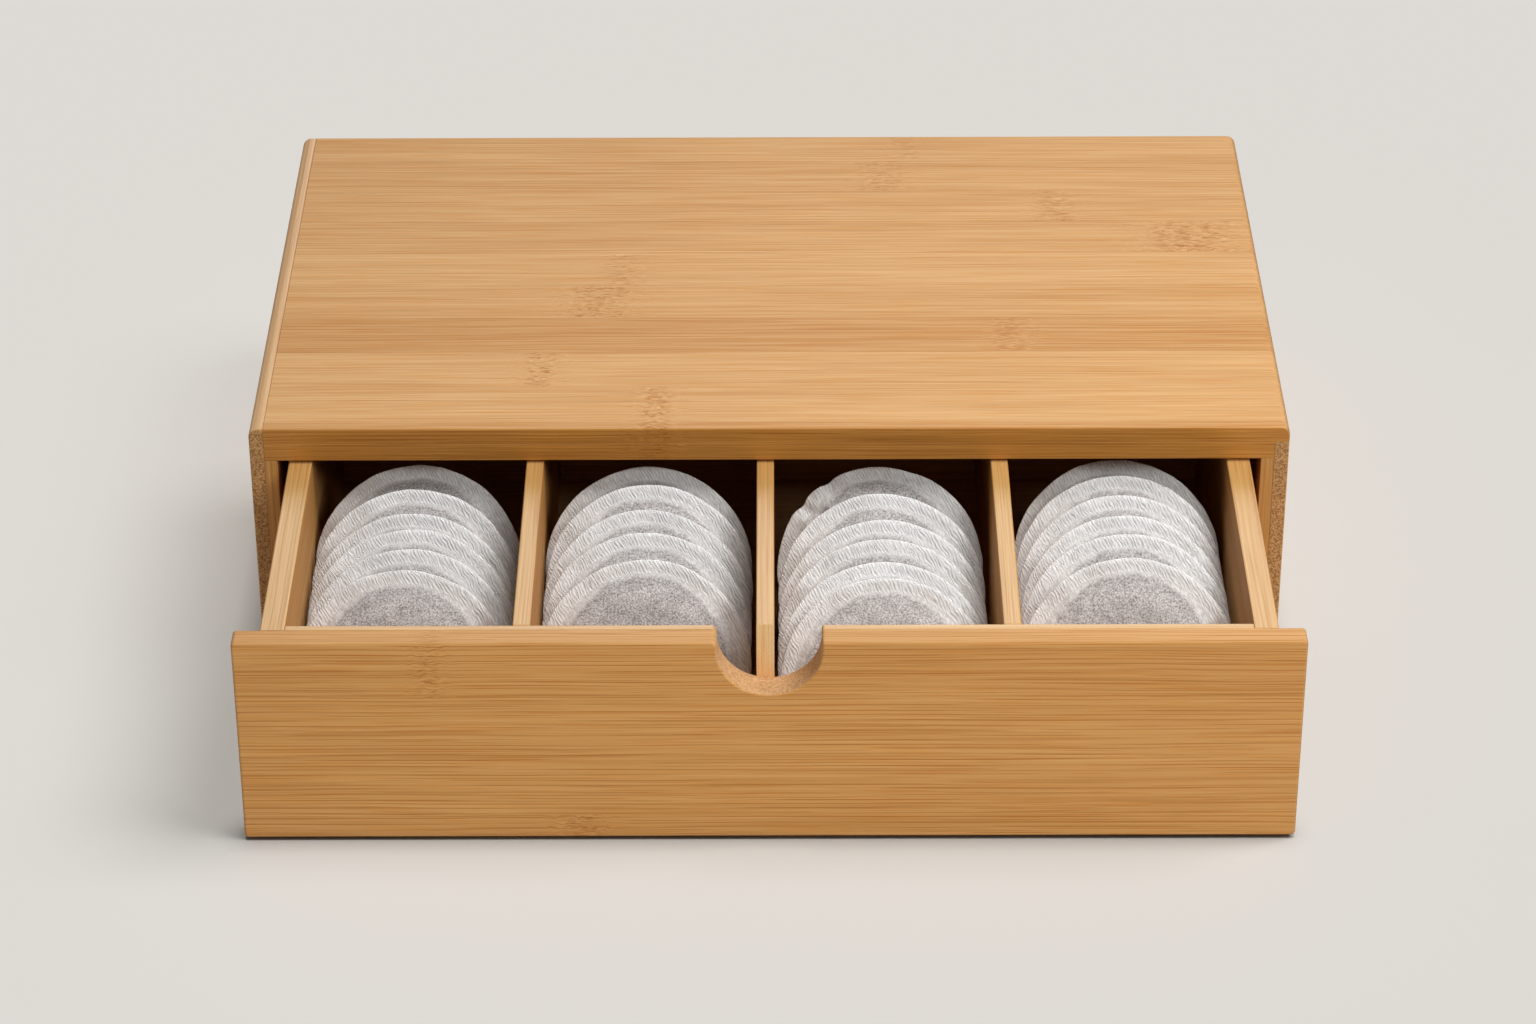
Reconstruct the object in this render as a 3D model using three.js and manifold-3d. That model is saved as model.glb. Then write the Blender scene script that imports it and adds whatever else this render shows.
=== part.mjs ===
// Bamboo tea storage drawer: a low case of glued plies and one full-width drawer that slides out at the front.
// Dividers part the drawer into compartments, and each holds a row of round tea pads that stand on edge.
// Millimetres. X runs along the width, Y from the drawer front to the back, and Z up from the table.
// The pads set the compartments, the compartments set the drawer, and the drawer sets the case.
import * as THREE from "three";
import { mergeVertices } from "three/addons/utils/BufferGeometryUtils.js";
import Module from "manifold-3d";

const wasm = await Module();
wasm.setup();

// Tea pads: two sheets of filter paper crimped together round a flat disc of tea
const padDiameter = 64;
const padThickness = 7.2;
const padRimWidth = 4.3;
const padRimThickness = 1;
const padLeanDegrees = 30;
const padGap = 0.3; // between a pad and what it stands on or leans towards
const padHeadroom = 4.3; // from the pads' tops to the drawer's top edge
const padSegments = 24;
const padCrownRings = 3;

// One row of pads for each compartment, left to right. The first share places the front pad's foot behind the
// inner front wall, and the others step from foot to foot. They are shares of the pitch of pads lying face to face.
const footStepShares = [
  [0.44, 1.42, 1.37, 1, 1.67, 1.66],
  [1.21, 1.72, 1.47, 1.73, 1.25],
  [0, 1.01, 1.51, 1.24, 1.79, 1.82],
  [0.99, 1.77, 1.27, 1.37, 1.32, 1.11],
];
// How far each row stands to the right of its compartment's middle, as a share of the room that it has there
const rowShiftShares = [-0.7, -0.62, -0.3, 0.3];

// Compartments, left to right: how much wider each is than a pad, as a share of the mean clearance
const compartmentClearance = 2.45;
const clearanceShares = [0.86, 0.65, 1.1, 1.39];

// Drawer
const drawerOpening = 94; // from the case's front to the back of the drawer front, as it stands at rest
const drawerFrontThickness = 7.2;
const drawerFrontInset = 4; // the drawer front is this much narrower than the case at each side
const drawerSideThickness = 7.2;
const drawerBackThickness = 7.2;
const innerFrontThickness = 2.6;
const drawerFloorThickness = 3;
const dividerThickness = 5.35;
const floorRebate = 3; // how far the floor reaches under each side
const backRebate = 3; // how far the back wall reaches into each side
const dividerSlotDepth = 2;
const jointGap = 0.1; // glue line beside a piece let into another
const drawerEasing = 0.5; // softened edges of the drawer's thin boards
const frontEasing = 0.8;
const frontCornerRadius = 1.2;

// Finger notch through the drawer front and the inner front wall
const notchWidth = 30.5;
const notchLeftLipRadius = 1.7; // sanded rounder than the right one
const notchRightLipRadius = 0.9;
const notchStraight = 1.25; // the upright stretch from the rounder lip down to the half-round bottom
const notchSegments = 28;
const lipSegments = 5;

// Case
const topOuterThickness = 5.3;
const topInnerThickness = 5.9;
const sideOuterThickness = 4.5;
const sideInnerThickness = 4;
const caseBottomThickness = 5;
const caseBackThickness = 6;
const caseDepth = 197;
const caseTopRadius = 3;
const caseBottomRadius = 1.2;
const caseEasing = 0.6;
const cornerSegments = 8;

// Running clearances of the drawer in the case
const slideSideGap = 3.35;
const slideTopGap = 1;
const slideBottomGap = 0.3;
const slideBackGap = 1;

// Feet
const footRadius = 6;
const footThickness = 1;
const footEasing = 0.3;
const footInset = 14; // from the case's edges to a foot's middle
const footSegments = 24;

const easingSegments = 2;
const cutOverrun = 5; // how far a cutter runs past the piece that it cuts

const padLean = THREE.MathUtils.degToRad(padLeanDegrees);
const padRadius = padDiameter / 2;
const padHeight = padDiameter * Math.cos(padLean) + padRimThickness * Math.sin(padLean);
const padPitch = (padThickness + padGap) / Math.cos(padLean);

// Levels, from the table up
const caseBottomTop = footThickness + caseBottomThickness;
const drawerUnderside = caseBottomTop + slideBottomGap;
const drawerFloorTop = drawerUnderside + drawerFloorThickness;
const drawerTop = drawerFloorTop + padGap + padHeight + padHeadroom;
const caseUnderTop = drawerTop + slideTopGap;
const topPlyLine = caseUnderTop + topInnerThickness;
const caseTop = topPlyLine + topOuterThickness;

// Widths, from the middle out
const compartmentWidths = clearanceShares.map((share) => padDiameter + compartmentClearance * share);
const compartmentsWidth = compartmentWidths.reduce((sum, width) => sum + width, 0);
const dividersWidth = (compartmentWidths.length - 1) * dividerThickness;
const drawerInnerHalf = (compartmentsWidth + dividersWidth) / 2;
const drawerHalf = drawerInnerHalf + drawerSideThickness;
const caseInnerHalf = drawerHalf + slideSideGap;
const sidePlyLine = caseInnerHalf + sideInnerThickness;
const caseHalf = sidePlyLine + sideOuterThickness;
const drawerFrontHalf = caseHalf - drawerFrontInset;

// The middle of a compartment, counted from the left.
function compartmentMiddle(index) {
  const before = compartmentWidths.slice(0, index).reduce((sum, width) => sum + width + dividerThickness, 0);
  return before + compartmentWidths[index] / 2 - drawerInnerHalf;
}

// Depths, with the case's front face at zero
const caseBackFront = caseDepth - caseBackThickness;
const drawerLength = caseBackFront - slideBackGap;
const drawerFrontBack = -drawerOpening;
const drawerFrontFace = drawerFrontBack - drawerFrontThickness;
const innerFrontBack = drawerFrontBack + innerFrontThickness;
const drawerEnd = drawerFrontBack + drawerLength;
const drawerBackFront = drawerEnd - drawerBackThickness;

// A geometry as a solid that can be cut.
function solidOf(geometry) {
  const bare = geometry.clone();
  bare.deleteAttribute("normal");
  bare.deleteAttribute("uv");
  const merged = mergeVertices(bare);
  const vertProperties = merged.attributes.position.array;
  const triVerts = new Uint32Array(merged.index.array);
  return new wasm.Manifold(new wasm.Mesh({ numProp: 3, vertProperties, triVerts }));
}

// A cut solid as a faceted geometry again.
function geometryOf(solid) {
  const mesh = solid.getMesh();
  const indexed = new THREE.BufferGeometry();
  indexed.setAttribute("position", new THREE.BufferAttribute(mesh.vertProperties, 3));
  indexed.setIndex(new THREE.BufferAttribute(mesh.triVerts, 1));
  const faceted = indexed.toNonIndexed();
  faceted.computeVertexNormals();
  return faceted;
}

// A square block between two limits on each axis.
function block([x0, x1], [y0, y1], [z0, z1]) {
  const size = new THREE.Vector3(x1 - x0, y1 - y0, z1 - z0);
  const unit = new THREE.BoxGeometry(1, 1, 1).translate(1 / 2, 1 / 2, 1 / 2);
  const place = new THREE.Matrix4().makeScale(size.x, size.y, size.z).setPosition(x0, y0, z0);
  return solidOf(unit.applyMatrix4(place));
}

// The points of a round corner about (x, z), or one sharp point where the radius is zero.
function corner(x, z, radius, startDegrees, endDegrees, segments) {
  const count = radius > 0 ? segments : 0;
  const points = [];
  for (let i = 0; i <= count; i++) {
    const share = count > 0 ? i / count : 0;
    const angle = THREE.MathUtils.degToRad(startDegrees + (endDegrees - startDegrees) * share);
    points.push(new THREE.Vector2(x + radius * Math.cos(angle), z + radius * Math.sin(angle)));
  }
  return points;
}

// A board's front view, counterclockwise from its lower left corner. A notched board has the finger notch in
// the middle of its top edge: two rounded lips and a half-round bottom.
function boardOutline({ half, bottom, top, bottomRadius, topRadius, notched = false }) {
  const notchHalf = notchWidth / 2;
  const bowlZ = top - Math.max(notchLeftLipRadius, notchRightLipRadius) - notchStraight;
  const low = bottom + bottomRadius;
  const high = top - topRadius;
  const lowX = half - bottomRadius;
  const highX = half - topRadius;
  const rightLip = notchHalf + notchRightLipRadius;
  const leftLip = -notchHalf - notchLeftLipRadius;
  const notch = [
    ...corner(rightLip, top - notchRightLipRadius, notchRightLipRadius, 90, 180, lipSegments),
    ...corner(0, bowlZ, notchHalf, 0, -180, notchSegments),
    ...corner(leftLip, top - notchLeftLipRadius, notchLeftLipRadius, 0, 90, lipSegments),
  ];
  return new THREE.Shape([
    ...corner(-lowX, low, bottomRadius, 180, 270, cornerSegments),
    ...corner(lowX, low, bottomRadius, 270, 360, cornerSegments),
    ...corner(highX, high, topRadius, 0, 90, cornerSegments),
    ...(notched ? notch : []),
    ...corner(-highX, high, topRadius, 90, 180, cornerSegments),
  ]);
}

// A front view carried back from y0 to y1, with both its front and its back edges eased.
function easedBoard(outline, y0, y1, easing) {
  const geometry = new THREE.ExtrudeGeometry(outline, {
    depth: y1 - y0 - 2 * easing,
    bevelThickness: easing,
    bevelSize: easing,
    bevelOffset: -easing,
    bevelSegments: easingSegments,
  });
  geometry.rotateX(Math.PI / 2);
  geometry.translate(0, y1 - easing, 0);
  return solidOf(geometry);
}

const assembly = new THREE.Group();
assembly.name = "tea_storage_drawer";
const caseGroup = new THREE.Group();
const drawerGroup = new THREE.Group();
assembly.add(caseGroup, drawerGroup);

const bambooFace = { color: 0xd8a468, roughness: 0.5, metalness: 0 };
const bambooEdge = { color: 0xc89054, roughness: 0.6, metalness: 0 };
const bambooDrawer = { color: 0xe2b478, roughness: 0.55, metalness: 0 };
const footRubber = { color: 0x3a3734, roughness: 0.8, metalness: 0 };
const filterPaper = { color: 0xd9d5d0, roughness: 0.95, metalness: 0 };

function addPiece(group, name, geometry, look) {
  const mesh = new THREE.Mesh(geometry, new THREE.MeshStandardMaterial(look));
  mesh.name = name;
  group.add(mesh);
  return mesh;
}

// The case is sanded as one block after it is glued, so every ply is a slice of the same eased block.
const caseDepths = [0, caseDepth];
const caseBlock = easedBoard(
  boardOutline({
    half: caseHalf,
    bottom: footThickness,
    top: caseTop,
    bottomRadius: caseBottomRadius,
    topRadius: caseTopRadius,
  }),
  0,
  caseDepth,
  caseEasing,
);

function addCasePly(name, xs, ys, zs, look) {
  addPiece(caseGroup, name, geometryOf(caseBlock.intersect(block(xs, ys, zs))), look);
}

// The top's outer ply covers the right side's plies and stops at the left side's outer ply, which runs full height.
addCasePly("case_top_outer_ply", [-sidePlyLine, caseHalf], caseDepths, [topPlyLine, caseTop], bambooFace);
addCasePly("case_top_inner_ply", [-sidePlyLine, sidePlyLine], caseDepths, [caseUnderTop, topPlyLine], bambooFace);
addCasePly("case_left_outer_ply", [-caseHalf, -sidePlyLine], caseDepths, [footThickness, caseTop], bambooEdge);
addCasePly("case_right_outer_ply", [sidePlyLine, caseHalf], caseDepths, [footThickness, topPlyLine], bambooEdge);
addCasePly("case_bottom_panel", [-sidePlyLine, sidePlyLine], caseDepths, [footThickness, caseBottomTop], bambooFace);
const innerLevels = [caseBottomTop, caseUnderTop];
const innerDepths = [0, caseBackFront];
addCasePly("case_left_inner_ply", [-sidePlyLine, -caseInnerHalf], innerDepths, innerLevels, bambooEdge);
addCasePly("case_right_inner_ply", [caseInnerHalf, sidePlyLine], innerDepths, innerLevels, bambooEdge);
addCasePly("case_back_panel", [-sidePlyLine, sidePlyLine], [caseBackFront, caseDepth], innerLevels, bambooFace);

// Thin round anti-slip feet under the case's corners
function footGeometry() {
  const profile = [
    new THREE.Vector2(0, 0),
    new THREE.Vector2(footRadius - footEasing, 0),
    new THREE.Vector2(footRadius, footEasing),
    new THREE.Vector2(footRadius, footThickness),
    new THREE.Vector2(0, footThickness),
  ];
  return new THREE.LatheGeometry(profile, footSegments).rotateX(Math.PI / 2);
}

for (const [side, x] of [["left", footInset - caseHalf], ["right", caseHalf - footInset]]) {
  for (const [end, y] of [["front", footInset], ["back", caseDepth - footInset]]) {
    const foot = addPiece(caseGroup, `foot_${end}_${side}`, footGeometry(), footRubber);
    foot.position.set(x, y, 0);
  }
}

// The drawer front and the thin wall glued behind it share one finger notch, so their outlines end at one top.
const drawerLevels = [drawerFloorTop, drawerTop];
const drawerFrontOutline = {
  half: drawerFrontHalf,
  bottom: footThickness,
  top: drawerTop,
  bottomRadius: frontCornerRadius,
  topRadius: frontCornerRadius,
  notched: true,
};
const acrossAll = [-caseHalf - cutOverrun, caseHalf + cutOverrun];
const upAll = [-cutOverrun, caseTop + cutOverrun];
const frontBoard = easedBoard(
  boardOutline(drawerFrontOutline),
  drawerFrontFace,
  drawerFrontBack + cutOverrun,
  frontEasing,
).intersect(block(acrossAll, [drawerFrontFace - cutOverrun, drawerFrontBack], upAll));
addPiece(drawerGroup, "drawer_front", geometryOf(frontBoard), bambooFace);

const innerFrontOutline = {
  half: drawerInnerHalf,
  bottom: drawerFloorTop,
  top: drawerTop,
  bottomRadius: 0,
  topRadius: 0,
  notched: true,
};
const innerFront = easedBoard(
  boardOutline(innerFrontOutline),
  drawerFrontBack - cutOverrun,
  innerFrontBack,
  drawerEasing,
).intersect(block(acrossAll, [drawerFrontBack, innerFrontBack + cutOverrun], upAll));
addPiece(drawerGroup, "drawer_inner_front", geometryOf(innerFront), bambooDrawer);

// Each side has a rebate along its foot for the floor and one up its rear end for the back wall.
const sideOutline = {
  half: drawerSideThickness / 2,
  bottom: drawerUnderside,
  top: drawerTop,
  bottomRadius: drawerEasing,
  topRadius: drawerEasing,
};
const sideShell = easedBoard(
  boardOutline(sideOutline),
  drawerFrontBack - cutOverrun,
  drawerEnd,
  drawerEasing / 2,
).intersect(block(acrossAll, [drawerFrontBack, drawerEnd + cutOverrun], upAll));
for (const [name, side] of [["drawer_left_side", -1], ["drawer_right_side", 1]]) {
  const middle = side * (drawerInnerHalf + drawerSideThickness / 2);
  const floorCut = side * (drawerInnerHalf + floorRebate + jointGap);
  const backCut = side * (drawerInnerHalf + backRebate + jointGap);
  const inside = side * (drawerInnerHalf - cutOverrun);
  const floorSpan = [Math.min(floorCut, inside), Math.max(floorCut, inside)];
  const backSpan = [Math.min(backCut, inside), Math.max(backCut, inside)];
  const alongAll = [drawerFrontBack - cutOverrun, drawerEnd + cutOverrun];
  const floorCutter = block(floorSpan, alongAll, [-cutOverrun, drawerFloorTop]);
  const backCutter = block(backSpan, [drawerBackFront, drawerEnd + cutOverrun], upAll);
  const board = sideShell.translate([middle, 0, 0]).subtract(floorCutter).subtract(backCutter);
  addPiece(drawerGroup, name, geometryOf(board), bambooDrawer);
}

// The floor runs under the inner front wall and the back wall, flush with the undersides of the drawer's sides.
const floorHalf = drawerInnerHalf + floorRebate;
const floor = block([-floorHalf, floorHalf], [drawerFrontBack, drawerEnd], [drawerUnderside, drawerFloorTop]);
addPiece(drawerGroup, "drawer_floor", geometryOf(floor), bambooDrawer);

// The back wall has an upright slot for each divider's rear end.
const backHalf = drawerInnerHalf + backRebate;
let backWall = block([-backHalf, backHalf], [drawerBackFront, drawerEnd], drawerLevels);
const dividerNames = ["divider_left", "divider_center", "divider_right"];
dividerNames.forEach((name, i) => {
  const half = dividerThickness / 2;
  const x = compartmentMiddle(i) + compartmentWidths[i] / 2 + half;
  const slotEnd = drawerBackFront + dividerSlotDepth;
  const slotSpan = [x - half - jointGap, x + half + jointGap];
  backWall = backWall.subtract(block(slotSpan, [drawerBackFront - cutOverrun, slotEnd + jointGap], upAll));
  const outline = { half, bottom: drawerFloorTop, top: drawerTop, bottomRadius: 0, topRadius: drawerEasing };
  const divider = easedBoard(boardOutline(outline), innerFrontBack, slotEnd, drawerEasing / 2);
  addPiece(drawerGroup, name, geometryOf(divider), bambooDrawer).position.x = x;
});
addPiece(drawerGroup, "drawer_back", geometryOf(backWall), bambooDrawer);

// A pad is turned about its axis: a crown on each face that falls to a flat crimped rim.
function padGeometry() {
  const crownRadius = padRadius - padRimWidth;
  const rimHalf = padRimThickness / 2;
  const crownRise = padThickness / 2 - rimHalf;
  const face = [];
  for (let i = 0; i <= padCrownRings; i++) {
    const share = i / padCrownRings;
    const rise = crownRise * Math.cos((share * Math.PI) / 2);
    face.push(new THREE.Vector2(crownRadius * share, rimHalf + rise));
  }
  face.push(new THREE.Vector2(padRadius, rimHalf));
  const behind = face.map((point) => new THREE.Vector2(point.x, -point.y)).reverse();
  return new THREE.LatheGeometry([...face, ...behind].reverse(), padSegments);
}

// Each pad stands on the drawer floor on its rim's lowest edge and leans back towards the next one.
const footLevel = drawerFloorTop + padGap + (padRimThickness / 2) * Math.sin(padLean);
footStepShares.forEach((steps, row) => {
  const room = (compartmentWidths[row] - padDiameter) / 2;
  const x = compartmentMiddle(row) + rowShiftShares[row] * room;
  let footY = innerFrontBack + padGap + (padRimThickness / 2) * Math.cos(padLean);
  steps.forEach((step, i) => {
    footY += step * padPitch;
    const pad = addPiece(drawerGroup, `tea_pad_${row + 1}_${i + 1}`, padGeometry(), filterPaper);
    pad.position.set(x, footY + padRadius * Math.sin(padLean), footLevel + padRadius * Math.cos(padLean));
    pad.rotation.x = -padLean;
  });
});

// The origin lies under the middle of the whole object, as it stands with the drawer open.
assembly.position.y = -(drawerFrontFace + caseDepth) / 2;

export default assembly;
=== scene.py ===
"""A bamboo tea storage drawer, pulled half open, with four rows of round tea pads standing in it."""

import math
import random

import bmesh
import bpy
import numpy as np
from mathutils import Matrix, Vector, noise


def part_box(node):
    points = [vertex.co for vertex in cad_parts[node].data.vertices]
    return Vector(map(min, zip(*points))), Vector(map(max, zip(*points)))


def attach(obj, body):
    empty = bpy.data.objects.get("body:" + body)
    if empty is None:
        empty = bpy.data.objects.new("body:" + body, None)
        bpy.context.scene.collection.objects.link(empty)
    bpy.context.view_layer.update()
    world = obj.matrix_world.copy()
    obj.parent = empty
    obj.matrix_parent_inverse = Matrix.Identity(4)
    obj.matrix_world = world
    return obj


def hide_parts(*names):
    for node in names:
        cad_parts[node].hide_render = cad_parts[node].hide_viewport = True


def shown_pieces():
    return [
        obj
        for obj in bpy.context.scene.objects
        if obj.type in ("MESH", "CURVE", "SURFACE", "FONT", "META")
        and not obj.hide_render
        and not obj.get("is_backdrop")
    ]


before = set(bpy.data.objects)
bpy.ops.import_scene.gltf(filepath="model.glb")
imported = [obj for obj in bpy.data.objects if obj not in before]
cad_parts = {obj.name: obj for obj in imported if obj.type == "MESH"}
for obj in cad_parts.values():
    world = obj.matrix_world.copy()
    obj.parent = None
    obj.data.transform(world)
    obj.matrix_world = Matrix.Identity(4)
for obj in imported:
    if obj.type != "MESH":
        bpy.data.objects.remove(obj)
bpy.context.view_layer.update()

MM = 0.001
X, Y, Z = 0, 1, 2

# The photograph's view
PHOTO_WIDTH = 1536
FOCAL_PIXELS = 4552.6
SENSOR_WIDTH = 36.0
NEAR_CLIP = 0.05
CAMERA_PLACE = (1.5 * MM, -1250.1 * MM, 792.3 * MM)
CAMERA_DOWN = 0.5520
CAMERA_LEFT = 0.0016
CAMERA_ROLL = -0.0033

# Floor and light
PALE = (0.730, 0.708, 0.672)
FLOOR_COLOUR = (0.44, 0.427, 0.405)
FLOOR_RADIUS = 30.0
FLOOR_SEGMENTS = 64
SKY_LEVEL = 0.16
LAMP_AIM = (0.0, -0.02, 0.04)
LAMPS = (  # name, place, size, power, what it lights
    ("key", (0.40, -0.22, 1.08), 0.50, 6.3, "wood"),
    ("fill", (0.42, -0.60, 0.66), 0.35, 3.0, "wood"),
    ("back", (0.05, 1.52, 0.88), 1.05, 8.0, "wood"),
    ("tea_top", (0.33, 0.05, 1.08), 0.70, 14.0, "paper"),
    ("tea_front", (0.45, -0.60, 0.72), 0.35, 2.9, "paper"),
    ("tea_back", (0.05, 1.52, 0.88), 1.05, 26.0, "paper"),
)
SUNS = (  # name, direction it comes from, spread in degrees, level, what casts a shadow in it
    ("side_sun", (0.62, 0.05, 1.0), 34, 0.65, "all"),
    ("drawer_sun", (0.62, 0.0, 1.0), 34, 1.9, "drawer"),
    ("top_sun", (0.03, 0.0, 1.0), 14, 2.5, "all"),
)

# Micro-rounding of the boards' sharp edges, which leaves a fine groove where two plies meet
EDGE_ROUND = 0.2 * MM
SHARP_ANGLE = math.radians(60)
FLAT_ANGLE = math.radians(0.5)
WELD = 1e-6

# What the bamboo's details multiply its colour by
WARM_FIBRE = (1.0, 0.88, 0.70, 1.0)
SEAM = (0.62, 0.50, 0.40, 1.0)
LIGHT_LINE = (1.14, 1.17, 1.22, 1.0)
DARK_LINE = (0.70, 0.51, 0.31, 1.0)
ROUND_A_MARK = (0.92, 0.84, 0.76, 1.0)
FLECK = (0.70, 0.54, 0.40, 1.0)

SQUARELY = (0.5, 0.85)  # how far a normal lies along an axis when a face starts to be an edge or end, and when it is
SEAM_HALF, SEAM_SOFT_HALF = 0.04, 0.22
STRIP_SHIFT = 900.0

# Tea pads, in mm: two round papers crimped together at the rim, with loose tea between them
PAD_LEAN = math.radians(30)
PAD_RADIUS = 32.0
PAD_RIM = 4.1
PAD_FOLD = 0.15
PAD_FOLD_HALF = 0.10
PAD_RIM_HALF = 0.24
PAD_HALF = 3.0
PAD_SEGMENTS = 168
PAD_RIM_RINGS = 5
PAD_CROWN_RINGS = 15

# The filled pads: they start flatter and rippled, and Cloth swells them
PAD_MASTERS = 3
PAD_START = 0.8
PAD_RIPPLE = 0.2
PAD_RIPPLE_LENGTH = 4.5
CLOTH_SCALE = 0.02  # the pad is simulated this many metres to the millimetre, where Cloth works well
CLOTH_STEPS = 20

# How one pad differs from the next
PAD_SEED = 20
PAD_FULLNESS = (0.86, 1.0)
PAD_SIZE = (0.993, 1.0)
PAD_SHIFT = (-0.3, 0.3)
PAD_OUTLINE = 0.013  # how far its outline strays from round, as a share of its radius
PAD_FINE_OUTLINE = 0.004
PAD_LUMPS = 2.2  # the radius of the circle in the noise that the outline is read from
PAD_WAVE = 0.8  # how far its rim waves forwards and backwards
PAD_WAVE_REACH = 9

# A dent in a rim: the paper is pushed in, folds down beside a ridge, and crumples. Angles are in radians.
DENT_REACH = 13
DENT_DEPTH, DENT_WIDTH = 0.030, 0.07  # the depth is a share of the radius
FOLD_DEPTH, FOLD_WIDTH = 0.8, 0.06
RIDGE_HEIGHT, RIDGE_WIDTH, RIDGE_PLACE = 0.7, 0.09, 0.12
CRUMPLE, CRUMPLE_LENGTH, CRUMPLE_WIDTH = 1.4, 2.4, 0.35


def rgb(red, green, blue):
    """A colour as the eye reads it, from 0 to 255, in linear light."""
    def linear(level):
        level /= 255
        return level / 12.92 if level <= 0.04045 else ((level + 0.055) / 1.055) ** 2.4
    return (linear(red), linear(green), linear(blue), 1.0)


class Shading:
    """The nodes of a material or a world. A value may be a number, a tuple or another node's output."""

    def __init__(self, owner, surface="Principled BSDF"):
        owner.use_nodes = True
        self.owner = owner
        self.tree = owner.node_tree
        self.surface = self.tree.nodes[surface]

    def set(self, socket, value):
        if isinstance(value, bpy.types.NodeSocket):
            self.tree.links.new(value, socket)
        else:
            socket.default_value = value

    def finish(self, **values):
        """Sets the surface's own sockets, such as Base_Color=..., and gives the material or world."""
        for key, value in values.items():
            self.set(self.surface.inputs[key.replace("_", " ")], value)
        return self.owner

    def node(self, kind, inputs=(), **settings):
        made = self.tree.nodes.new(kind)
        for key, value in settings.items():
            setattr(made, key, value)
        for key, value in dict(inputs).items():
            self.set(made.inputs[key], value)
        return made

    def math(self, operation, *values):
        return self.node("ShaderNodeMath", enumerate(values), operation=operation).outputs[0]

    def add(self, *values):
        total = values[0]
        for value in values[1:]:
            total = self.math("ADD", total, value)
        return total

    def times(self, a, b):
        return self.math("MULTIPLY", a, b)

    def most(self, a, b):
        return self.math("MAXIMUM", a, b)

    def apart(self, a, b):
        return self.math("ABSOLUTE", self.math("SUBTRACT", a, b))

    def unless(self, value):
        return self.math("SUBTRACT", 1.0, value)

    def vector(self, operation, *values):
        return self.node("ShaderNodeVectorMath", enumerate(values), operation=operation).outputs["Vector"]

    def coordinate(self, kind):
        return self.node("ShaderNodeTexCoord").outputs[kind]

    def attribute(self, name, output):
        return self.node("ShaderNodeAttribute", attribute_name=name).outputs[output]

    def parts(self, vector):
        return self.node("ShaderNodeSeparateXYZ", {0: vector}).outputs

    def stretched(self, *values):
        """A place in a noise. A (value, length) pair stands for the value counted in such lengths."""
        counted = [self.math("DIVIDE", *v) if isinstance(v, tuple) else v for v in values]
        return self.node("ShaderNodeCombineXYZ", enumerate(counted)).outputs[0]

    def noise(self, vector, detail=2.0, roughness=0.5):
        inputs = {"Vector": vector, "Scale": 1.0, "Detail": detail, "Roughness": roughness}
        return self.node("ShaderNodeTexNoise", inputs).outputs["Fac"]

    def random(self, value):
        return self.node("ShaderNodeTexWhiteNoise", {"W": value}, noise_dimensions="1D").outputs["Value"]

    def spread(self, value, low, high, to_low=0.0, to_high=1.0, smooth=False):
        inputs = {"Value": value, "From Min": low, "From Max": high, "To Min": to_low, "To Max": to_high}
        kind = "SMOOTHSTEP" if smooth else "LINEAR"
        return self.node("ShaderNodeMapRange", inputs, interpolation_type=kind).outputs["Result"]

    def swing(self, value, far):
        """A value from 0 to 1 as one from -far to far."""
        return self.spread(value, 0.0, 1.0, -far, far)

    def mix(self, factor, a, b, blend="MIX"):
        made = self.node("ShaderNodeMix", {0: factor}, data_type="RGBA", blend_type=blend)
        self.set(made.inputs[6], a)
        self.set(made.inputs[7], b)
        return made.outputs[2]

    def tint(self, colour, factor, tint):
        return self.mix(factor, colour, tint, "MULTIPLY")

    def bump(self, height, distance, strength=1.0):
        inputs = {"Height": height, "Distance": distance, "Strength": strength}
        return self.node("ShaderNodeBump", inputs).outputs["Normal"]


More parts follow.
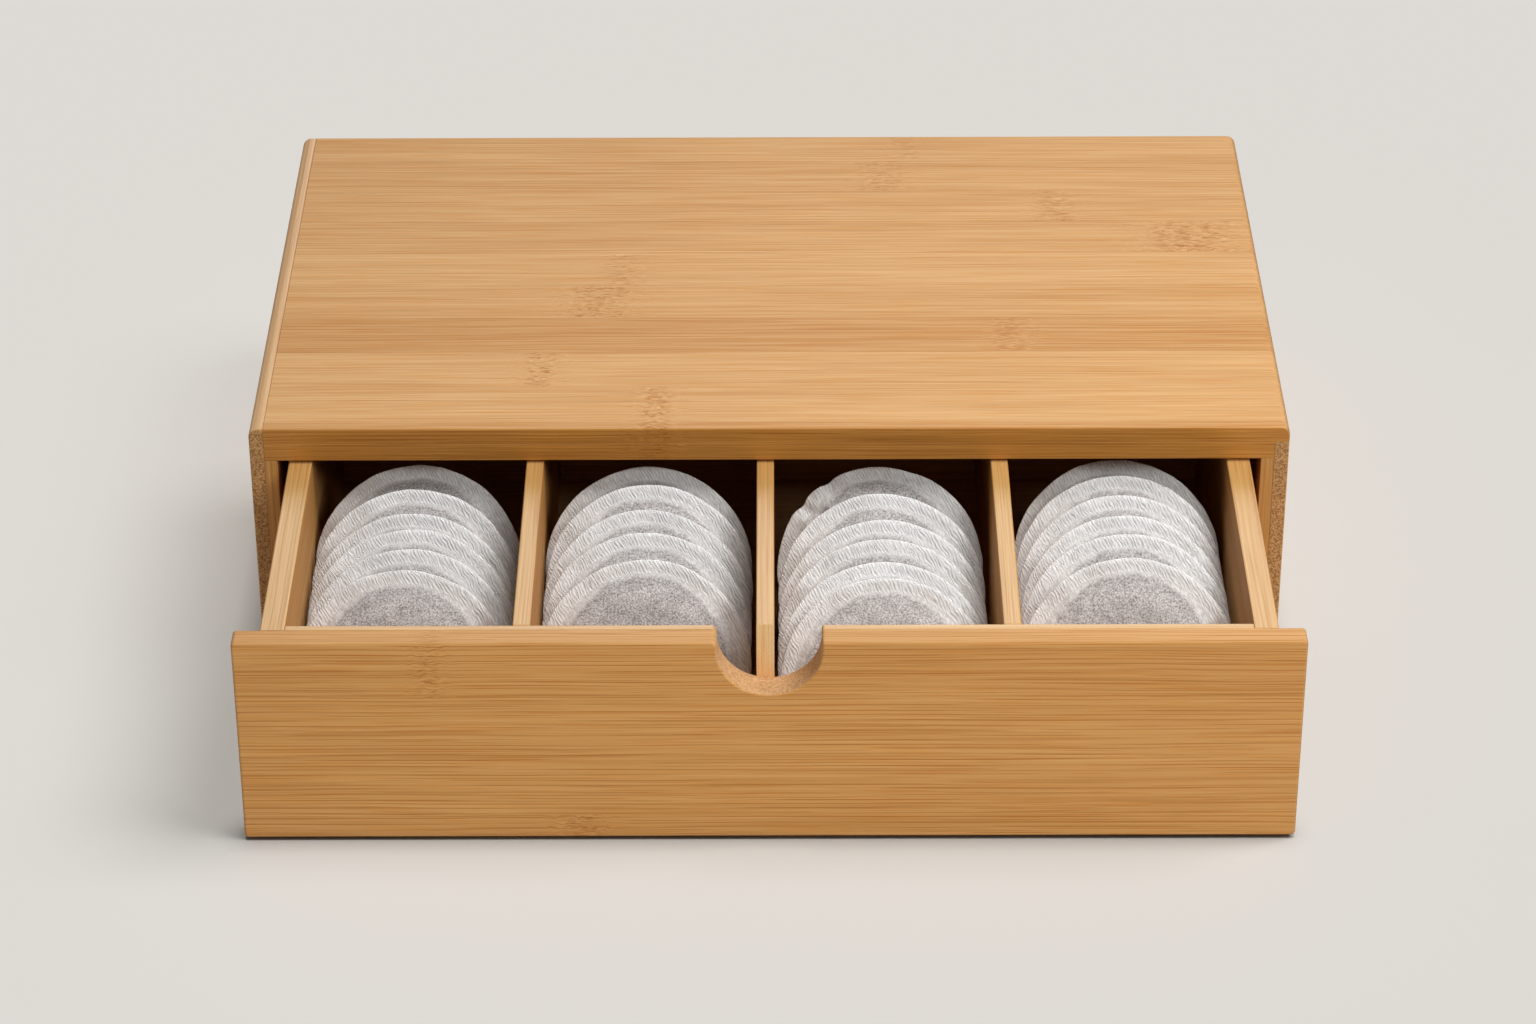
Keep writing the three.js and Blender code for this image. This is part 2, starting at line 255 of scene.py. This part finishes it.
def bamboo(
    name, grain, broad, faces, strip, seam, weights, lining, seed,
    marks=(), cut=None, lined=False, gloss=(0.16, 0.28),
):
    """Strips of bamboo glued side by side. All lengths are in mm.
    grain is the axis that the fibres follow, and broad the one across the board's thickness.
    faces holds the darkest and lightest colour of the broad faces, of the long edges and of the end grain.
    strip is the width of a strip, and seam the place of one seam between two.
    weights say how much the fine fibres, the streaks, the broad bands and the strips differ,
    and lining how strong the thin dark lines and the thin light lines are.
    marks are the nodes of the cane: their place along and across, half length, half width and strength.
    cut, if given, is the half width and the highest level of a cut-out, and its darkest and lightest colour.
    lined ends show lines instead of end grain, in colours lighter than the faces: painted light that keeps
    front-facing ends as bright as the lit tops. gloss is how much the broad faces and the long edges reflect."""
    s = Shading(bpy.data.materials.new(name))
    place = s.parts(s.vector("MULTIPLY", s.coordinate("Object"), (1000.0, 1000.0, 1000.0)))
    across = X + Y + Z - grain - broad
    g, a, b = place[grain], place[across], place[broad]
    facing = s.parts(s.vector("ABSOLUTE", s.coordinate("Normal")))
    edge = s.spread(facing[across], *SQUARELY, smooth=True)
    end = s.spread(facing[grain], *SQUARELY, smooth=True)

    # Each strip is cut from another stretch of cane, so its pattern is shifted along it
    strips = s.math("DIVIDE", s.math("SUBTRACT", a, seam), strip)
    number = s.add(s.math("FLOOR", strips), seed)
    tone = s.random(number)
    run = s.add(g, s.times(s.random(s.add(number, 0.5)), STRIP_SHIFT))
    beside = s.apart(s.math("FRACT", strips), 0.5)
    seam_line = s.spread(beside, 0.5 - SEAM_SOFT_HALF / strip, 0.5 - SEAM_HALF / strip)

    # A mark is the node itself, and its halo the stretch where the fibres curl round it
    mark, halo = 0.0, 0.0
    if marks:
        ragged = s.swing(s.noise(s.stretched((g, 3.0), (a, 1.6), seed)), 0.9)
    for middle, middle_across, half, half_across, strength in marks:
        far = s.add(s.math("DIVIDE", s.apart(g, middle), half), ragged)
        within = s.spread(s.apart(a, middle_across), half_across - 0.7, half_across, 1.0, 0.0)
        mark = s.most(mark, s.times(s.spread(far, 0.35, 1.35, strength, 0.0, smooth=True), within))
        halo = s.most(halo, s.times(s.spread(far, 0.6, 3.0, 0.8 * strength, 0.0, smooth=True), within))

    wavy = s.add(a, s.swing(s.noise(s.stretched((run, 70.0), (a, 24.0), (b, 24.0)), 1.0), 0.8))
    if marks:
        curl = s.noise(s.stretched((g, 3.2), (a, 2.6), (b, 2.6)), 1.0)
        wavy = s.add(wavy, s.times(s.swing(curl, 2.2), halo))
    slanted = s.add(wavy, s.times(b, 0.9))

    def fibre(long, wide, shift=0.0, detail=2.0, roughness=0.5):
        return s.noise(s.stretched((s.add(run, shift), long), (wavy, wide), (b, wide)), detail, roughness)

    def lines(apart, wide, long, shift, low, high):
        """Thin lines that follow the grain about this far apart, each coming and going along its run."""
        rows = s.math("DIVIDE", s.add(slanted, shift), apart)
        row = s.math("FLOOR", rows)
        middle = s.spread(s.random(s.add(row, shift + seed)), 0.0, 1.0, 0.28, 0.72)
        off = s.apart(s.math("SUBTRACT", rows, row), middle)
        comes = s.noise(s.stretched((run, long), s.times(row, 7.3), seed + shift), 2.0)
        return s.times(s.spread(off, 0.0, wide / apart, 1.0, 0.0, smooth=True), s.spread(comes, low, high))

    fine = fibre(52.0, 0.52, detail=3.0, roughness=0.62)
    streak = fibre(100.0, 1.15, 311.0)
    band = fibre(150.0, 8.0, 577.0)
    warm = s.spread(fibre(26.0, 1.7, 901.0), 0.50, 0.66, smooth=True)
    bold_lines = lines(1.75, 0.28, 75.0, 3.1, 0.44, 0.55)
    faint_lines = lines(1.05, 0.24, 42.0, 17.7, 0.45, 0.57)
    dark_lines = s.most(bold_lines, s.times(faint_lines, 0.75))
    light_lines = lines(1.15, 0.28, 40.0, 29.3, 0.42, 0.66)

    shade = s.add(0.5, *(s.swing(kind, weight) for kind, weight in zip((fine, streak, band, tone), weights)))
    colour = s.mix(shade, *faces[0])
    colour = s.tint(colour, s.times(warm, 0.5), WARM_FIBRE)
    colour = s.tint(colour, s.times(seam_line, s.spread(streak, 0.35, 0.6, 0.05, 0.5)), SEAM)
    colour = s.mix(edge, colour, s.mix(shade, *faces[1]))
    colour = s.tint(colour, s.times(light_lines, lining[1]), LIGHT_LINE)
    colour = s.tint(colour, s.times(dark_lines, lining[0]), DARK_LINE)
    specks = s.spread(s.noise(s.stretched((g, 30.0), (a, 0.5), (b, 0.5)), 1.0), 0.40, 0.62)
    ends = s.mix(s.add(s.times(specks, 0.8), s.spread(streak, 0.3, 0.7, -0.1, 0.3)), faces[2][1], faces[2][0])
    # Painted light: lined ends are coloured lighter than the wood's faces, so that ends facing away from the lamps
    # read as bright as the tops
    if lined:
        grooves = s.noise(s.stretched((a, 26.0), (b, 0.5), seed), 2.0, 0.6)
        ends = s.mix(s.spread(grooves, 0.3, 0.7), rgb(250, 186, 118), rgb(255, 226, 172))
    colour = s.mix(end, colour, ends)

    if marks:
        fleck = s.noise(s.stretched((g, 3.0), (wavy, 0.56), (b, 0.56)), 1.0)
        pale = s.times(s.spread(fleck, 0.46, 0.34, 0.0, 0.6), s.unless(edge))
        colour = s.tint(colour, s.times(halo, 0.40), ROUND_A_MARK)
        colour = s.tint(colour, s.times(mark, s.spread(fleck, 0.50, 0.64, 0.0, 0.85)), FLECK)
        colour = s.mix(s.times(halo, pale), colour, faces[0][1])
    if cut:
        half, level, cut_colours = cut
        between = s.spread(s.math("ABSOLUTE", place[X]), half, half + 0.6, 1.0, 0.0)
        inside = s.times(between, s.spread(place[Z], level, level + 0.8, 1.0, 0.0))
        inside = s.times(inside, s.unless(s.spread(facing[Y], 0.5, 0.8)))
        freckles = s.noise(s.stretched((place[X], 0.7), (place[Y], 0.8), (place[Z], 0.5)), 3.0)
        colour = s.mix(inside, colour, s.mix(s.spread(freckles, 0.32, 0.62), *cut_colours))

    pores = s.times(specks, s.times(end, -0.5))
    relief = s.add(s.times(fine, 0.6), s.times(dark_lines, -0.4), pores, s.times(seam_line, -0.8))
    return s.finish(
        Base_Color=colour,
        Roughness=s.add(s.spread(fine, 0.3, 0.7, 0.62, 0.52), s.times(edge, -0.16)),
        Specular_IOR_Level=s.spread(edge, 0.0, 1.0, *gloss),
        Normal=s.bump(relief, 0.09 * MM, 0.6),
    )


def filter_paper():
    """Crimped, creped paper at the rim, and mottled paper where the tea lies behind it, with painted shade in the
    crepe, near the rim and at the edge, and a painted highlight along the fold.
    """
    s = Shading(bpy.data.materials.new("tea_pad_paper"))
    u, v, seed = s.parts(s.attribute("paper", "Vector"))[:3]
    inward = s.attribute("inward", "Fac")

    # The crepe's ridges run one way over the whole paper
    over = s.add(s.times(u, 0.883), s.times(v, 0.469))
    along = s.add(s.times(u, 0.469), s.times(v, -0.883))
    over = s.add(over, s.swing(s.noise(s.stretched((over, 3.0), (along, 4.0), seed), 1.0), 0.9))
    comb = s.spread(s.math("SINE", s.times(over, 2 * math.pi / 0.95)), -1.0, 1.0)
    creases = s.noise(s.stretched((over, 0.44), (along, 2.4), seed), 2.0, 0.55)
    crepe = s.add(s.times(comb, 0.34), s.spread(creases, 0.30, 0.70, 0.0, 0.66))
    grains = s.noise(s.stretched((u, 0.55), (v, 0.55), seed), 3.0, 0.62)
    clumps = s.noise(s.stretched((u, 4.6), (v, 4.6), seed), 2.0)
    curls = s.noise(s.stretched((over, 0.42), (along, 1.3), s.add(seed, 5.0)), 2.0)

    # The rim, the tea within it, which lies less far out at the sides, and the paler shoulder between. The tea's
    # grey begins close to the rim, partly as painted shade of the crevice between neighbouring pads
    rim = s.spread(s.add(inward, s.swing(clumps, 0.3)), PAD_RIM - 0.3, PAD_RIM + 0.15, 1.0, 0.0)
    aside = s.spread(s.math("ABSOLUTE", u), 6.0, 27.0, 0.0, -2.6, smooth=True)
    depth = s.add(inward, s.swing(clumps, 1.3), aside)
    tea = s.spread(depth, PAD_RIM - 0.3, PAD_RIM + 1.4, smooth=True)
    # The crepe's ridges and creases also darken the rim's colour between them: painted shade of the relief, beside
    # the bump
    rim_colour_with_ridge_shade = s.mix(crepe, rgb(194, 192, 190), rgb(250, 249, 248))
    shoulder = s.mix(s.spread(curls, 0.35, 0.65), rgb(190, 187, 185), rgb(222, 219, 217))
    mottle = s.add(
        s.times(s.spread(grains, 0.36, 0.64), 0.65),
        s.times(s.spread(clumps, 0.3, 0.7), 0.2),
        s.times(s.spread(curls, 0.3, 0.7), 0.15),
    )
    centre = s.mix(mottle, rgb(114, 108, 106), rgb(229, 225, 223))
    # Painted shade: the tea's grey is darkened further just inside the rim, where the pad in front makes a crevice
    painted_crevice_shade = s.spread(inward, PAD_RIM + 1.0, PAD_RIM + 6.0, 0.24, 0.0, smooth=True)
    centre = s.mix(painted_crevice_shade, centre, rgb(118, 113, 111))
    colour = s.mix(rim, s.mix(tea, shoulder, centre), rim_colour_with_ridge_shade)

    # A painted highlight along the fold where the crimp ends, and painted shade along the very edge
    crimp_starts = s.spread(inward, PAD_RIM - 0.6, PAD_RIM - 0.2)
    painted_fold_highlight = s.times(crimp_starts, s.spread(inward, PAD_RIM + 0.1, PAD_RIM + 0.4, 1.0, 0.0))
    colour = s.mix(s.times(painted_fold_highlight, 0.15), colour, rgb(248, 246, 244))
    colour = s.mix(s.spread(inward, 0.1, 0.5, 0.15, 0.0), colour, rgb(150, 147, 144))
    paper_relief = s.mix(rim, s.times(curls, 0.4), crepe)
    relief = s.mix(tea, paper_relief, s.add(s.times(grains, 0.9), s.times(curls, 0.3)))
    return s.finish(
        Base_Color=colour,
        Roughness=0.95,
        Specular_IOR_Level=0.2,
        Normal=s.bump(relief, 0.2 * MM, 0.8),
    )


def rubber():
    s = Shading(bpy.data.materials.new("foot_rubber"))
    grain = s.noise(s.vector("MULTIPLY", s.coordinate("Object"), (2500.0, 2500.0, 2500.0)), 2.0)
    colour = s.mix(grain, rgb(34, 32, 31), rgb(58, 55, 52))
    return s.finish(Base_Color=colour, Roughness=0.8, Normal=s.bump(grain, 0.05 * MM, 0.5))


def added(name, data):
    """A new object in the scene."""
    made = bpy.data.objects.new(name, data)
    bpy.context.scene.collection.objects.link(made)
    return made


def make_camera():
    data = bpy.data.cameras.new("camera")
    data.sensor_width = SENSOR_WIDTH
    data.sensor_fit = "HORIZONTAL"
    data.lens = FOCAL_PIXELS / PHOTO_WIDTH * SENSOR_WIDTH
    data.clip_start = NEAR_CLIP
    camera = added("camera", data)
    turn = Matrix.Rotation(CAMERA_LEFT, 4, "Z")
    tilt = Matrix.Rotation(math.pi / 2 - CAMERA_DOWN, 4, "X")
    roll = Matrix.Rotation(CAMERA_ROLL, 4, "Z")
    camera.matrix_world = Matrix.Translation(CAMERA_PLACE) @ turn @ tilt @ roll
    bpy.context.scene.camera = camera


def make_floor():
    mesh = bpy.data.meshes.new("floor")
    bm = bmesh.new()
    bmesh.ops.create_circle(bm, cap_ends=True, segments=FLOOR_SEGMENTS, radius=FLOOR_RADIUS)
    bm.to_mesh(mesh)
    bm.free()
    s = Shading(bpy.data.materials.new("pale_floor"))
    mesh.materials.append(s.finish(Base_Color=(*FLOOR_COLOUR, 1.0), Roughness=1.0, Specular_IOR_Level=0.0))
    floor = added("floor", mesh)
    floor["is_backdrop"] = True
    return floor


def make_sky():
    """A dim even light on everything, and a pale background for the camera and for gloss and glass."""
    world = bpy.data.worlds.new("studio")
    bpy.context.scene.world = world
    s = Shading(world, "Background")
    path = s.node("ShaderNodeLightPath").outputs
    seen = s.most(s.most(path["Is Camera Ray"], path["Is Glossy Ray"]), path["Is Transmission Ray"])
    s.finish(Color=s.mix(seen, (SKY_LEVEL, SKY_LEVEL, SKY_LEVEL, 1.0), (*PALE, 1.0)), Strength=1.0)


def make_lights(floor, drawer_pieces):
    """Soft lamps light the wood and the paper, and suns give the floor its even light and the object's soft
    shadow. In one sun only the drawer casts a shadow."""
    def gather(name, things):
        made = bpy.data.collections.new(name)
        for thing in things:
            made.objects.link(thing)
        return made

    on_floor = gather("floor_only", [floor])
    paper = [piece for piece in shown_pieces() if piece.name.endswith("_paper")]
    groups = {
        "wood": gather("wood_only", [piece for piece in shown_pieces() if piece not in paper]),
        "paper": gather("paper_only", paper),
        "drawer": gather("drawer_only", drawer_pieces),
    }

    def lamp(name, kind, place, target, energy, receivers):
        light = bpy.data.lights.new(name, kind)
        light.energy = energy
        made = added(name, light)
        made.location = place
        direction = Vector(target) - Vector(place)
        made.rotation_euler = direction.to_track_quat("-Z", "Y").to_euler()
        made.light_linking.receiver_collection = receivers
        return made

    for name, place, size, power, lit in LAMPS:
        light = lamp(name, "AREA", place, LAMP_AIM, power, groups[lit]).data
        light.shape = "DISK"
        light.size = size
    for name, place, spread, level, blockers in SUNS:
        sun = lamp(name, "SUN", place, (0.0, 0.0, 0.0), level, on_floor)
        sun.data.angle = math.radians(spread)
        if blockers == "drawer":
            sun.light_linking.blocker_collection = groups[blockers]


def fine_board(node, body, material):
    """A board with its sharp edges finely rounded, as sanding leaves them."""
    mesh = bpy.data.meshes.new(f"{node}_board")
    bm = bmesh.new()
    bm.from_mesh(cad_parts[node].data)
    bmesh.ops.remove_doubles(bm, verts=bm.verts, dist=WELD)
    bmesh.ops.dissolve_limit(bm, angle_limit=FLAT_ANGLE, verts=bm.verts, edges=bm.edges)
    sharp = [e for e in bm.edges if len(e.link_faces) == 2 and e.calc_face_angle() > SHARP_ANGLE]
    bmesh.ops.bevel(bm, geom=sharp, offset=EDGE_ROUND, offset_type="OFFSET", segments=2, profile=0.5, affect="EDGES")
    for face in bm.faces:
        face.smooth = True
    bm.to_mesh(mesh)
    bm.free()
    mesh.materials.append(material)
    piece = added(f"{node}_board", mesh)
    weighted = piece.modifiers.new("shading", "WEIGHTED_NORMAL")
    weighted.keep_sharp = True
    weighted.weight = 100
    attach(piece, body)
    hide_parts(node)
    return piece


def pad_rings():
    """Each ring's distance from the middle and its half thickness, from the rim's edge inwards, in mm, and the
    half thickness in the middle."""
    rings = [(PAD_RADIUS, 0.0), (PAD_RADIUS - PAD_FOLD, PAD_FOLD_HALF)]
    for i in range(1, PAD_RIM_RINGS):
        rings.append((PAD_RADIUS - PAD_RIM * i / (PAD_RIM_RINGS - 1), PAD_RIM_HALF))
    crown = PAD_RADIUS - PAD_RIM
    for i in range(1, PAD_CROWN_RINGS + 1):
        distance = crown * (1 - (i / PAD_CROWN_RINGS) ** 1.15)
        swell = (1 - (distance / crown) ** 2.1) ** 0.9
        rings.append((distance, PAD_RIM_HALF + (PAD_HALF - PAD_RIM_HALF) * swell))
    return rings[:-1], rings[-1][1]


def pad_mesh(name):
    """A pad lying flat: its vertices ring by ring, front side up, then the back side's."""
    rings, middle = pad_rings()
    turns = [2 * math.pi * i / PAD_SEGMENTS for i in range(PAD_SEGMENTS)]
    neighbours = [(i, (i + 1) % PAD_SEGMENTS) for i in range(PAD_SEGMENTS)]
    points = [(math.cos(t) * rings[0][0], math.sin(t) * rings[0][0], 0.0) for t in turns]
    faces = []
    for sign in (1, -1):
        row_starts = [0] + [len(points) + PAD_SEGMENTS * i for i in range(len(rings) - 1)]
        for distance, half in rings[1:]:
            points += [(math.cos(t) * distance, math.sin(t) * distance, sign * half) for t in turns]
        last = len(points)
        points.append((0.0, 0.0, sign * middle))
        side = [
            (outer + i, outer + j, inner + j, inner + i)
            for outer, inner in zip(row_starts, row_starts[1:]) for i, j in neighbours
        ]
        side += [(row_starts[-1] + i, row_starts[-1] + j, last) for i, j in neighbours]
        faces += side if sign > 0 else [face[::-1] for face in side]
    mesh = bpy.data.meshes.new(name)
    mesh.from_pydata(points, [], faces)
    return mesh


def swollen_pad(seed):
    """The pad's points after the tea has filled it: Cloth swells the papers, and the crimped rim puckers them."""
    mesh = pad_mesh("pad_master")
    flat = np.array([v.co for v in mesh.vertices])
    held = np.hypot(flat[:, 0], flat[:, 1]) > PAD_RADIUS - PAD_RIM - 0.1
    start = flat.copy()
    for i, (x, y, z) in enumerate(flat):
        if not held[i]:
            place = Vector((x / PAD_RIPPLE_LENGTH, y / PAD_RIPPLE_LENGTH, seed * 7.3 + math.copysign(3, z)))
            start[i, 2] = z * PAD_START + noise.noise(place) * PAD_RIPPLE
    mesh.vertices.foreach_set("co", (start * CLOTH_SCALE).ravel())
    master = added("pad_master", mesh)
    rim = master.vertex_groups.new(name="rim")
    rim.add([int(i) for i in np.nonzero(held)[0]], 1.0, "REPLACE")
    cloth = master.modifiers.new("swell", "CLOTH")
    cloth.settings.quality = 5
    cloth.settings.mass = 0.2
    cloth.settings.tension_stiffness = 12
    cloth.settings.compression_stiffness = 6
    cloth.settings.shear_stiffness = 4
    cloth.settings.bending_stiffness = 0.4
    cloth.settings.use_pressure = True
    cloth.settings.uniform_pressure_force = 2
    cloth.settings.shrink_min = -0.012
    cloth.settings.vertex_group_mass = "rim"
    cloth.settings.effector_weights.gravity = 0
    cloth.point_cache.frame_start = 1
    cloth.point_cache.frame_end = CLOTH_STEPS
    scene = bpy.context.scene
    for number in range(1, CLOTH_STEPS + 1):
        scene.frame_set(number)
    swollen = master.evaluated_get(bpy.context.evaluated_depsgraph_get())
    points = np.array([v.co for v in swollen.data.vertices]) / CLOTH_SCALE
    scene.frame_set(1)
    bpy.data.objects.remove(master)
    bpy.data.meshes.remove(mesh)
    limit = np.where(held, PAD_FOLD_HALF + PAD_RIM_HALF, PAD_HALF)
    points[:, 2] = np.clip(points[:, 2], -limit, limit)
    return points


def make_uneven(points, inward, seed, dents):
    """Moves a flat pad's points, in mm, to give it a wavy outline and rim, and dents at the given angles.
    inward is how far each point was from the edge."""
    def hump(off, width):
        return math.exp(-(off / width) ** 2)

    angles = np.arctan2(points[:, 1], points[:, 0])
    for i, angle in enumerate(angles):
        around = Vector((math.cos(angle) * PAD_LUMPS, math.sin(angle) * PAD_LUMPS, seed))
        rim = max(0.0, 1 - inward[i] / PAD_WAVE_REACH)
        points[i, :2] *= 1 + PAD_OUTLINE * noise.noise(around) + PAD_FINE_OUTLINE * noise.noise(around * 4.0)
        points[i, 2] += rim * PAD_WAVE * noise.noise(around * 1.4 + Vector((9, 0, 0)))
        for dent in dents:
            off = (angle - dent + math.pi) % (2 * math.pi) - math.pi
            reach = max(0.0, 1 - inward[i] / DENT_REACH)
            kink = noise.noise(Vector((points[i, 0] / CRUMPLE_LENGTH, points[i, 1] / CRUMPLE_LENGTH, 4.0)))
            points[i, :2] *= 1 - DENT_DEPTH * reach * hump(off, DENT_WIDTH)
            ridge = RIDGE_HEIGHT * hump(off - RIDGE_PLACE, RIDGE_WIDTH)
            points[i, 2] += reach * (ridge - FOLD_DEPTH * hump(off, FOLD_WIDTH))
            points[i, 2] += CRUMPLE * kink * reach * max(0.0, 1 - abs(off) / CRUMPLE_WIDTH)


def tea_pad(node, master, draw, material, size, shift, dents=()):
    """One pad, with its own turn, fullness and outline, standing where the CAD pad stands.
    size is its share of the CAD pad's, shift its place sideways in mm, and dents the angles of its dents."""
    low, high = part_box(node)
    points = master.copy()
    turn = draw.uniform(0, 2 * math.pi)
    cos, sin = math.cos(turn), math.sin(turn)
    points[:, :2] = points[:, :2] @ np.array([[cos, sin], [-sin, cos]])
    points[:, 2] *= draw.uniform(*PAD_FULLNESS)
    seed = draw.uniform(0, 50)
    inward = PAD_RADIUS - np.hypot(points[:, 0], points[:, 1])
    make_uneven(points, inward, seed, dents)
    points *= size
    mesh = pad_mesh(f"{node}_paper")
    mesh.vertices.foreach_set("co", (points * MM).ravel())
    sheet = np.full(len(points), seed) + np.sign(points[:, 2])  # the two papers differ in pattern
    paper = mesh.attributes.new("paper", "FLOAT_VECTOR", "POINT")
    paper.data.foreach_set("vector", np.column_stack([points[:, :2], sheet]).ravel())
    edge = mesh.attributes.new("inward", "FLOAT", "POINT")
    edge.data.foreach_set("value", inward)
    mesh.polygons.foreach_set("use_smooth", [True] * len(mesh.polygons))
    mesh.update()
    mesh.materials.append(material)
    piece = added(f"{node}_paper", mesh)
    sunk = (1 - size) * PAD_RADIUS * MM  # a smaller pad still stands on the drawer's floor
    middle = (low + high) / 2 + Vector((shift * MM, -sunk * math.sin(PAD_LEAN), -sunk * math.cos(PAD_LEAN)))
    piece.matrix_world = Matrix.Translation(middle) @ Matrix.Rotation(math.pi / 2 - PAD_LEAN, 4, "X")
    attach(piece, "drawer")
    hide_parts(node)
    return piece


# The top's long edges, such as the case's front edge: partly the ply edge's own deeper orange, partly painted shade
# that keeps them darker than the faces
PLY_EDGE_WITH_PAINTED_SHADE = (rgb(172, 112, 42), rgb(228, 164, 81))
LIGHT_EDGE = (rgb(196, 146, 80), rgb(228, 182, 114))
END_GRAIN = (rgb(150, 104, 58), rgb(212, 166, 112))
PANEL_FACE = (rgb(200, 146, 90), rgb(236, 192, 140))
DRAWER_FACE = (rgb(182, 126, 66), rgb(216, 165, 104))
PLAIN = (0.6, 0.35, 0.4, 0.2)
NOTCH = (15.6, 69.0, (rgb(190, 140, 92), rgb(222, 178, 130)))

TOP_MARKS = (
    (46.5, 140.0, 4.5, 9.1, 0.45),
    (37.6, 119.6, 6.8, 10.9, 0.6),
    (95.4, 97.8, 6.0, 10.9, 0.65),
    (138.8, 76.0, 12.0, 10.9, 0.9),
    (-47.0, 54.2, 5.8, 10.9, 0.6),
    (-55.0, 32.4, 9.0, 10.9, 0.85),
    (76.4, 10.6, 5.0, 10.9, 0.65),
    (-71.7, -11.2, 4.7, 10.9, 1.0),
    (-35.1, -35.2, 4.5, 13.1, 1.0),
)
FRONT_MARKS = (
    (-99.0, 60.4, 3.5, 10.0, 0.55),
    (-56.0, 5.2, 5.0, 4.3, 0.8),
)

WOODS = {
    "top": dict(
        grain=X, broad=Z, faces=((rgb(200, 141, 80), rgb(236, 189, 132)), PLY_EDGE_WITH_PAINTED_SHADE, END_GRAIN),
        strip=21.8, seam=-22.1, seed=3.0, weights=(0.75, 0.24, 0.25, 0.2), lining=(0.5, 0.55),
        marks=TOP_MARKS, gloss=(0.10, 0.28),
    ),
    "panel": dict(
        grain=X, broad=Z, faces=(PANEL_FACE, PANEL_FACE, END_GRAIN),
        strip=21.8, seam=-22.1, seed=41.0, weights=PLAIN, lining=(0.4, 0.5),
    ),
    "back": dict(
        grain=X, broad=Y, faces=(PANEL_FACE, PANEL_FACE, END_GRAIN),
        strip=20.75, seam=9.5, seed=67.0, weights=PLAIN, lining=(0.4, 0.5),
    ),
    "outer_side": dict(
        grain=Y, broad=X,
        faces=((rgb(196, 140, 84), rgb(232, 186, 132)), (rgb(200, 150, 94), rgb(234, 188, 132)), END_GRAIN),
        strip=20.4, seam=20.5, seed=13.0, weights=PLAIN, lining=(0.4, 0.5),
    ),
    "inner_side": dict(
        grain=Z, broad=X,
        faces=((rgb(176, 120, 64), rgb(220, 168, 108)), (rgb(181, 124, 59), rgb(229, 176, 104)), END_GRAIN),
        strip=19.5, seam=4.0, seed=23.0, weights=PLAIN, lining=(0.5, 0.5),
    ),
    "front": dict(
        grain=X, broad=Y,
        faces=((rgb(203, 141, 74), rgb(241, 185, 115)), (rgb(200, 144, 84), rgb(233, 184, 126)), END_GRAIN),
        strip=20.75, seam=9.5, seed=31.0, weights=(0.50, 0.22, 0.25, 0.06), lining=(0.90, 0.50),
        marks=FRONT_MARKS, cut=NOTCH, gloss=(0.16, 0.06),
    ),
    "inner_front": dict(
        grain=X, broad=Y, faces=((rgb(206, 156, 100), rgb(238, 196, 144)), LIGHT_EDGE, END_GRAIN),
        strip=20.75, seam=19.5, seed=47.0, weights=(0.6, 0.35, 0.35, 0.15), lining=(0.4, 0.5),
        cut=NOTCH, gloss=(0.1, 0.8),
    ),
    "drawer_side": dict(
        grain=Y, broad=X, faces=(DRAWER_FACE, LIGHT_EDGE, END_GRAIN),
        strip=20.75, seam=9.5, seed=53.0, weights=PLAIN, lining=(0.6, 0.6), gloss=(0.06, 0.7),
    ),
    "divider": dict(
        grain=Y, broad=X, faces=(DRAWER_FACE, LIGHT_EDGE, END_GRAIN),
        strip=20.75, seam=9.5, seed=59.0, weights=PLAIN, lining=(0.6, 0.6), lined=True, gloss=(0.06, 0.6),
    ),
}
BOARDS = (  # body, slot, wood, nodes
    ("case", "bamboo_case", "top", ("case_top_outer_ply", "case_top_inner_ply")),
    ("case", "bamboo_case", "outer_side", ("case_left_outer_ply", "case_right_outer_ply")),
    ("case", "bamboo_case", "inner_side", ("case_left_inner_ply", "case_right_inner_ply")),
    ("case", "bamboo_case", "panel", ("case_bottom_panel",)),
    ("case", "bamboo_case", "back", ("case_back_panel",)),
    ("drawer", "bamboo_front", "front", ("drawer_front",)),
    ("drawer", "bamboo_drawer", "inner_front", ("drawer_inner_front",)),
    ("drawer", "bamboo_drawer", "drawer_side", ("drawer_left_side", "drawer_right_side")),
    ("drawer", "bamboo_drawer", "divider", ("divider_left", "divider_center", "divider_right")),
    ("drawer", "bamboo_drawer", "panel", ("drawer_floor",)),
    ("drawer", "bamboo_drawer", "back", ("drawer_back",)),
)
PAD_LOOKS = {  # where the photograph shows a pad that differs from the rest
    "tea_pad_1_1": dict(size=1.004, shift=-0.7),
    "tea_pad_4_1": dict(size=1.012),
    "tea_pad_3_6": dict(dents=(math.radians(121), math.radians(140))),
}

make_camera()
make_sky()
floor = make_floor()

woods = {wood: bamboo(f"bamboo_{wood}", **facts) for wood, facts in WOODS.items()}
drawer_pieces = []
for body, slot, wood, nodes in BOARDS:
    for node in nodes:
        board = fine_board(node, body, woods[wood])
        if body == "drawer":
            drawer_pieces.append(board)

rubber_material = rubber()
for name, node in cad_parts.items():
    if name.startswith("foot_"):
        node.data.materials.clear()
        node.data.materials.append(rubber_material)

paper = filter_paper()
draw = random.Random(PAD_SEED)
masters = [swollen_pad(i + 1) for i in range(PAD_MASTERS)]
for name in sorted(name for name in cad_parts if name.startswith("tea_pad_")):
    master = masters[draw.randrange(PAD_MASTERS)]
    looks = {"size": draw.uniform(*PAD_SIZE), "shift": draw.uniform(*PAD_SHIFT), **PAD_LOOKS.get(name, {})}
    drawer_pieces.append(tea_pad(name, master, draw, paper, **looks))

make_lights(floor, drawer_pieces)
bpy.context.scene.view_settings.view_transform = "Standard"
